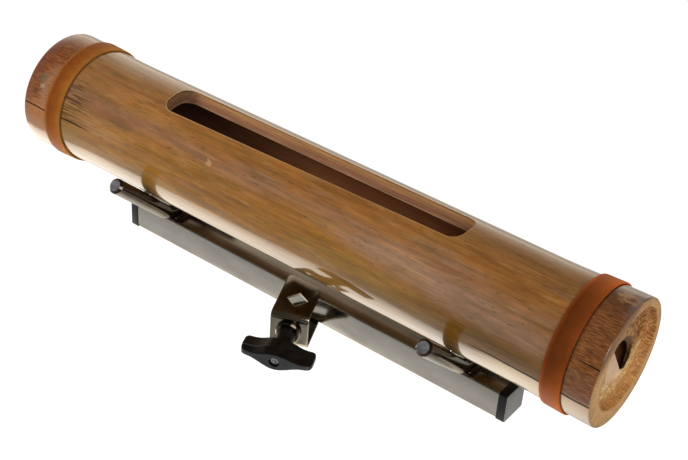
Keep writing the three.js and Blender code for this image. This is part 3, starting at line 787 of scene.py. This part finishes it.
def slot_cutter():
    """The slot in the top, which leans and narrows a little from left to right."""
    slot = new_box((1, 1, 1))
    for v in slot.verts:
        end = v.co.x > 0
        v.co = Vector((slot_ends[end], slot_leans[end] + v.co.y * slot_widths[end],
                       culm_radius * (1 + 2 * v.co.z)))
    uprights = [e for e in slot.edges if span(e, 2) > culm_radius]
    bevel(slot, uprights, slot_corner, 10)
    paint(slot, lambda face: SLOT_CUT)
    return slot


def end_hole_cutters():
    """The hole in the right node wall: a ledge half closes it, and its open half runs inwards and down."""
    sides, shy, overlap = 64, 0.02, 0.05
    slant = Vector((0, 0.17, -2.2))
    open_way = Vector((0, cos(end_ledge_turn), sin(end_ledge_turn)))
    chord = end_ledge_offset - slant.dot(open_way) * end_ledge_depth
    wall_back = node_face - node_wall_thickness
    pocket = cylinder(end_hole_radius, node_face - end_ledge_depth, culm_half + 1, "along", sides)
    opening = cylinder(end_hole_radius - shy, wall_back - 1, node_face + 1, "along", sides)
    for shape, number in ((pocket, LEDGE), (opening, PITH)):
        ledge = number == LEDGE
        cut = ops.bisect_plane(
            shape, geom=shape.verts[:] + shape.edges[:] + shape.faces[:], plane_no=open_way,
            plane_co=open_way * (chord + overlap * ledge), clear_outer=ledge, clear_inner=not ledge)
        ops.holes_fill(shape, edges=only(cut["geom_cut"], BMEdge))
        face_out(shape)
        paint(shape, lambda face: number)
        for v in shape.verts:
            v.co += end_hole_shift + slant * (node_face - v.co.x) * (not ledge)
    return pocket, opening


def screw_hole_cutters():
    """Holes through the culm's wall for the screws into the four arms."""
    holes = []
    for middle in rod_middles:
        for side in (-1, 1):
            hole = cylinder(cradle_hole, bore_radius / 2, culm_radius + 2, "down", 16, BORE)
            turn = Matrix.Rotation(side * cradle_tilt, 4, "X")
            move = Matrix.Translation(X * (middle - culm_centre.x))
            ops.transform(hole, matrix=move @ turn, verts=hole.verts)
            holes.append(hole)
    return holes


def make_culm():
    bore_end = node_face - node_wall_thickness
    bm = bmesh.new()
    spin_line(bm, culm_outline(-1) + culm_outline(1)[::-1], X, culm_sides)
    merge(bm)
    face_out(bm)
    paint(bm, culm_number)
    tear_node_walls(bm)
    inside = cylinder(bore_radius, -bore_end, bore_end, "along", culm_sides, BORE)
    bm = carve(bm, inside, slot_cutter(), *end_hole_cutters(), *screw_hole_cutters())
    shift(bm, culm_centre)
    finish("bamboo_culm", bm, culm_materials, "bamboo_tube")


def make_band(node, rubber):
    thickness, edge_round = 1.1, 0.45
    low, high = box_mm(node)
    start, stop = low.x - culm_centre.x, high.x - culm_centre.x
    section = [(start, 0), (start, thickness), (stop, thickness), (stop, 0)]
    bm = bmesh.new()
    points = [(x, 0, culm_radius_at(x) + FIT + layer) for x, layer in section]
    spin_line(bm, points, X, culm_sides, close=True)
    close_up(bm)

    def outside(v):
        return hypot(v.co.y, v.co.z) > culm_radius_at(v.co.x) + FIT + thickness / 2

    rims = [e for e in bm.edges if all(map(outside, e.verts)) and span(e, 0) < 0.01]
    bevel(bm, rims, edge_round, 3)
    shift(bm, culm_centre)
    finish(f"{node.split('_')[0]}_rubber_band", bm, [rubber], node, sharp=60)


def make_bar():
    corner, wall = 1.6, 1.5
    bm = new_box(bar_high - bar_low)
    ops.delete(bm, geom=[f for f in bm.faces if abs(f.normal.x) > 0.9], context="FACES")
    bevel(bm, [e for e in bm.edges if not e.is_boundary], corner, 6)
    face_out(bm)
    ops.solidify(bm, geom=bm.faces, thickness=wall)
    # The lower front corner is painted in the darker plate, as shade
    paint(bm, lambda face: face.normal.y < -0.1 and face.normal.z < -0.1)
    shift(bm, bar_centre)
    finish("square_bar", bm, [satin_nickel, shaded_nickel], "holder_bar")


def make_plug(node, end):
    lip, proud, chamfer, corner = 6.0, 0.4, 0.9, 1.3
    shoulder, stub_length = 4.4, 14
    lip_size = bar_size + 2 * proud
    bm = new_box((lip, lip_size, lip_size))
    bevel(bm, [e for e in bm.edges if span(e, 0) > lip / 2], corner, 5)
    bevel(bm, [e for e in bm.edges if all(v.co.x > lip / 2 - 0.01 for v in e.verts)], chamfer, 3)
    inner = [f for f in bm.faces if f.normal.x < -0.9]
    ops.inset_region(bm, faces=inner, thickness=shoulder)
    stub = ops.extrude_face_region(bm, geom=inner)
    ops.delete(bm, geom=inner, context="FACES")
    ops.translate(bm, vec=-X * stub_length, verts=only(stub["geom"], BMVert))
    face_out(bm)
    face = bar_high.x if end > 0 else bar_low.x
    turn = Matrix.Rotation(0 if end > 0 else 2 * QUARTER, 4, "Z")
    move = Matrix.Translation((face + end * (FIT + lip / 2), bar_centre.y, bar_centre.z))
    ops.transform(bm, matrix=move @ turn, verts=bm.verts)
    finish(node.replace("end_plug", "bar_plug"), bm, [plug_plastic], node, sharp=50)


def make_cradle_rod(node):
    radius, tilt, bend, arm_past, chamfer = cradle_radius, cradle_tilt, 12.0, 38.0, 1.5
    weld_size, weld_sunk, weld_rough, weld_lump = (2.1, 7.6, 1.9), 1.0, 0.5, 1.7
    low, high = box_mm(node)
    foot_height = bar_top + FIT + radius
    rise = culm_centre.z - foot_height
    foot_half = ((culm_radius + FIT + radius) - rise * cos(tilt)) / sin(tilt)
    flat = foot_half - bend * tan(tilt / 2)
    arm_run = rise * sin(tilt) - foot_half * cos(tilt) + arm_past - bend * tan(tilt / 2)
    arm = Vector((0, cos(tilt), sin(tilt)))
    bm = bmesh.new()
    ops.create_circle(bm, segments=28, radius=radius)
    rotate(bm, QUARTER, "X")
    shift(bm, Z * foot_height)

    # Half of the rod: its foot, its bend and its arm, whose tip is chamfered
    rim = grow(bm, bm.edges[:], Y * flat)
    turned = ops.spin(bm, geom=rim, cent=(0, flat, foot_height + bend), axis=X, angle=tilt, steps=8)
    rim = grow(bm, only(turned["geom_last"], BMEdge), arm * (arm_run - chamfer))
    rim = grow(bm, rim, arm * chamfer)
    tip = {v for e in rim for v in e.verts}
    centre = sum((v.co for v in tip), Vector()) / len(tip)
    ops.scale(bm, vec=(1 - chamfer / radius,) * 3, space=Matrix.Translation(-centre), verts=list(tip))
    ops.contextual_create(bm, geom=rim)
    whole = bm.verts[:] + bm.edges[:] + bm.faces[:]
    ops.mirror(bm, geom=whole, matrix=Matrix.Identity(4), merge_dist=SAME, axis="Y")
    close_up(bm)
    paint(bm, lambda face: len(face.verts) > 4)

    # Uneven weld beads along both sides of the foot
    for side in (-1, 1):
        weld = ops.create_icosphere(bm, subdivisions=4, radius=1)["verts"]
        ops.scale(bm, vec=weld_size, verts=weld)
        ops.translate(bm, vec=(side * (radius - weld_sunk), 0, bar_top + FIT), verts=weld)
        for v in weld:
            v.co += v.normal * weld_rough * noise.noise(v.co / weld_lump + X * low.x)
    shift(bm, ((low.x + high.x) / 2, culm_centre.y, 0))
    finish(node.replace("cradle_rod", "bent_rod"), bm, [dark_nickel, cut_steel], node)


def make_bracket():
    edge_round = 0.5
    half = strap_width / 2
    bend_at = strap_bend - strap_reach
    turn_in = strap_high - strap_bend
    rear = bar_centre.y - bar_size / 2 + strap_lap
    bm = bmesh.new()

    def fold(edges, height):
        made = ops.spin(bm, geom=edges, cent=(0, bend_at, height), axis=X, angle=QUARTER, steps=8)
        return only(made["geom_last"], BMEdge)

    # A line as wide as the strap runs out over the upper flange, down the web and back along the lower flange
    rim = only(draw_line(bm, [(x, 0, strap_high) for x in (-half, half)]), BMEdge)
    rim = fold(grow(bm, rim, Y * bend_at), turn_in)
    rim = fold(grow(bm, rim, Z * -2 * turn_in), -turn_in)
    grow(bm, rim, -Y * bend_at)
    merge(bm)
    corners = [v for v in bm.verts if abs(v.co.y) < SAME]
    for v in corners:
        v.co.y = (rear - v.co.x * sin(clamp_turn)) / cos(clamp_turn)
    bevel(bm, corners, strap_corner, 6, affect="VERTICES")
    face_out(bm)
    if max(bm.faces, key=lambda face: face.calc_center_median().z).normal.z < 0:
        ops.reverse_faces(bm, faces=bm.faces)
    ops.solidify(bm, geom=bm.faces, thickness=strap_thickness)

    diamond = new_box((rod_hole, rod_hole, 4 * strap_high))
    rotate(diamond, QUARTER / 2, "Z")
    bolt_hole = cylinder(bolt_radius + FIT, strap_reach / 2, strap_reach + 1, "player", 32)
    bm = carve(bm, diamond, bolt_hole)
    merge(bm)
    bevel(bm, [e for e in bm.edges if e.calc_face_angle(0) > radians(60)], edge_round, 2)
    # The upper flange's top is painted in the darker plate, as the shade of the dark culm side it faces
    paint(bm, lambda face: face.normal.z > 0.9 and face.calc_center_median().z > strap_high - 1)
    rotate(bm, clamp_turn, "Z")
    finish("strap_clamp", bm, [polished_nickel, shaded_nickel], "clamp_bracket")


def make_nut():
    # The handle's neck runs into a counterbore, so the thread stays out of sight
    chamfer, counterbore_depth, neck_room = 0.8, 2.2, 0.4
    back, front = -nut_back, -nut_back - nut_thickness
    hole, counterbore, floor = bolt_radius + FIT, neck_radius + neck_room, front + counterbore_depth
    outline = [(back, hole), (back, nut_radius), (front, nut_radius), (front, counterbore),
               (floor, counterbore), (floor, hole)]
    bm = bmesh.new()
    spin_line(bm, [(0, y, radius) for y, radius in outline], Y, 64, close=True)
    close_up(bm)
    rims = [e for e in bm.edges if e.calc_face_angle(0) > 1
            and all(hypot(v.co.x, v.co.z) > nut_radius - 0.1 for v in e.verts)]
    bevel(bm, rims, chamfer, 1)
    # The chamfer is painted in the brighter plate below, a painted highlight
    paint(bm, lambda face: 0.3 < abs(face.normal.y) < 0.9 and face.normal.z < 0.2)
    rotate(bm, clamp_turn, "Z")
    finish("round_nut", bm, [dark_nickel, polished_nickel], "clamp_nut")


def make_screw():
    thread_depth, tip_chamfer, end_chamfer, dimple_radius, dimple_depth = 0.55, 0.7, 0.5, 1.3, 0.9
    plain_sunk, end_sunk = 3, 1.5
    steps = 24
    root, crest = bolt_radius - thread_depth, bolt_radius
    plain_from, end = neck_start + plain_sunk, handle_front - end_sunk
    thread_from = bolt_tip + 1
    turns = int((plain_from - thread_from) / bolt_pitch)
    # A turn of the thread, as radii and shares of the pitch
    section = [(root, 0), (crest, 0.4), (crest, 0.55), (root, 0.95), (root, 1.0)]
    bm = bmesh.new()
    thread = draw_line(bm, [(0, -thread_from - along * bolt_pitch, radius) for radius, along in section])
    ops.spin(bm, geom=thread, cent=(0, 0, 0), axis=Y, dvec=-Y * bolt_pitch / steps,
             angle=4 * QUARTER * turns, steps=steps * turns)
    merge(bm)
    # The core, whose front end has a turned dimple
    core = [(bolt_tip, 0), (bolt_tip, root - tip_chamfer), (bolt_tip + tip_chamfer, root), (plain_from, root),
            (plain_from, crest), (end - end_chamfer, crest), (end, crest - end_chamfer), (end, dimple_radius),
            (end - dimple_depth, dimple_radius - 0.6), (end - dimple_depth, 0)]
    spin_line(bm, [(0, -along, radius) for along, radius in core], Y, 32)
    close_up(bm)
    rotate(bm, clamp_turn, "Z")
    finish("wing_bolt_screw", bm, [zinc], "clamp_screw", body="wing_screw")


def make_handle():
    half, hub_high, tip_high, bow, corner = 22.75, 5.7, 1.7, 3.0, 3.0
    hub_reach, blade_start = 17, 7
    ridge_at, ridge_rise, back_rise = 0.4, 0.5, 0.15
    neck_rooted, voxel, ridge_highlight_until = 5, 0.33, -5
    rest_turn = radians(3.5)
    back = handle_front - handle_depth
    bm = new_box((1, 1, 1))
    for axis, cuts in enumerate((63, 7, 3)):
        along_axis = [e for e in bm.edges if span(e, axis) > 0.5]
        ops.subdivide_edges(bm, edges=along_axis, cuts=cuts, use_grid_fill=True)
    # Two blades taper from the hub, each with a ridge, a bowed front and round corners
    for v in bm.verts:
        along, deep = 2 * v.co.x, v.co.y + 0.5
        off = abs(along) * half
        high = tip_high + (hub_high - tip_high) * eased(max(0, 1 - off / hub_reach))
        if deep < ridge_at:
            swell = ridge_rise * deep / ridge_at
        else:
            swell = ridge_rise + (back_rise - ridge_rise) * (deep - ridge_at) / (1 - ridge_at)
        ridge = 1 + swell * min(1, off / blade_start)
        over = max(0, off - half + corner)
        inset = corner - sqrt(corner * corner - over * over)
        front = handle_front - bow * along * along - inset
        v.co = Vector((along * half, -(front + (back + inset - front) * deep), 2 * v.co.z * high * ridge))

    # The neck is moulded in one with the blades
    neck_end = handle_front - neck_rooted
    neck = mesh_object("neck", cylinder(neck_radius, neck_start, neck_end, "player", 40))
    bm.from_mesh(neck.data)
    lump = mesh_object("lump", bm)
    remesh = lump.modifiers.new("moulded", "REMESH")
    remesh.mode = "VOXEL"
    remesh.voxel_size = voxel
    lump.modifiers.new("rounded", "SMOOTH").iterations = 3
    bm = drawn_from(lump, neck)
    bm = carve(bm, cylinder(bolt_radius + FIT, neck_start - 1, handle_front + 1, "player", 40))
    # The front is painted a lighter grey, and the left blade's ridge has a painted highlight
    paint(bm, lambda face: 1 if face.normal.y < -0.8 else 2 * (face.calc_center_median().x > ridge_highlight_until))
    rotate(bm, rest_turn, "Y")
    rotate(bm, clamp_turn, "Z")
    finish("wing_bolt_handle", bm, [plastic, grey_front_plastic, plug_plastic], "wing_handle",
           body="wing_grip", sharp=60)


make_culm()
make_band("left_band", left_rubber)
make_band("right_band", right_rubber)
make_bar()
make_plug("left_end_plug", -1)
make_plug("right_end_plug", 1)
make_cradle_rod("left_cradle_rod")
make_cradle_rod("right_cradle_rod")
make_bracket()
make_nut()
make_screw()
make_handle()
# The screws and washers in the bore keep their CAD shapes
for name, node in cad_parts.items():
    if name.startswith("cradle_"):
        node.data.materials.clear()
        node.data.materials.append(zinc)


def make_floor():
    """A pale floor well below the hanging block, where gloss sees a lit table in a dimmer room."""
    drop, size = 0.45, 6
    bm = bmesh.new()
    ops.create_grid(bm, x_segments=1, y_segments=1, size=size)
    shift(bm, -Z * drop)
    floor = mesh_object("floor", bm)
    material, add = new_material("pale_floor")
    rays = add("LightPath", out=None)
    card = add("BsdfDiffuse", "#d6d6d6")
    lift = add("Emission", {"Strength": add("MULTIPLY", rays["Is Camera Ray"], 0.7)})
    # The table's front edge, in metres, runs aslant and has two bends
    x, y, _ = add("SeparateXYZ", add("TexCoord", out=3), out=None)
    across = add("MULTIPLY_ADD", x, 0.35, y)
    across = add("SUBTRACT", across, add("MapRange", x, -0.26, -0.08, 0, 0.18))
    across = add("ADD", across, add("MapRange", x, -0.07, 0.0, 0, 0.06))
    on_table = add("Fade", across, -0.46, -0.36)
    room = add("MapRange", y, -0.75, -0.45, 0.4, 0.72)
    table = add("Fade", across, -0.3, 0.25, 3.0, 0.65)
    colour = add("Blend", on_table, "#ffffff", "#fff8ea")
    mirrored = add("Emission", colour, add("Level", on_table, room, table))
    gloss = add("MAXIMUM", rays["Is Glossy Ray"], rays["Is Transmission Ray"])
    add("OutputMaterial", add("MixShader", gloss, add("AddShader", card, lift), mirrored))
    floor.data.materials.append(material)


def soft_light(name, place, target, size, watts, mirrored):
    data = bpy.data.lights.new(name, "AREA")
    data.shape = "RECTANGLE"
    data.size, data.size_y = size
    data.energy = watts
    light = new_object(name, data)
    light.location = place
    light.rotation_euler = (Vector(place) - Vector(target)).to_track_quat("Z", "Y").to_euler()
    light.visible_glossy = mirrored


def make_sweep():
    """A white sweep behind the block, further up on the left, which the camera sees as plain white."""
    world = bpy.data.worlds.new("studio")
    bpy.context.scene.world = world
    world.use_nodes = True
    world.node_tree.nodes.clear()
    add = partial(add_node, world.node_tree)
    rays = add("LightPath", out=None)
    x, y, z = add("SeparateXYZ", add("TexCoord", out=0), out=None)
    rise = add("ADD", add("SUBTRACT", z, y), add("MULTIPLY_ADD", x, 2.0, 0.91))
    sweep = add("Fade", rise, 0.2, -0.9, 0.12, 1.5)
    gloss = add("MAXIMUM", rays["Is Glossy Ray"], rays["Is Transmission Ray"])
    level = add("Level", rays["Is Camera Ray"], add("Level", gloss, 0.43, sweep), 1.0)
    tint = add("Blend", gloss, "#ffffff", "#ffefd9")
    add("OutputWorld", add("Background", tint, level))


make_floor()
# The lacquer mirrors nothing that lies to the right, so the key light shows only on the metal and the plastic
soft_light("key_softbox", (1.1, -0.75, 0.9), (0, 0, 0), (0.8, 0.8), 11.0, True)
soft_light("front_softbox", (-0.7, -0.8, 0.45), (-0.05, 0, 0), (1.0, 0.8), 7.5, False)
make_sweep()

bpy.context.scene.view_settings.view_transform = "Standard"
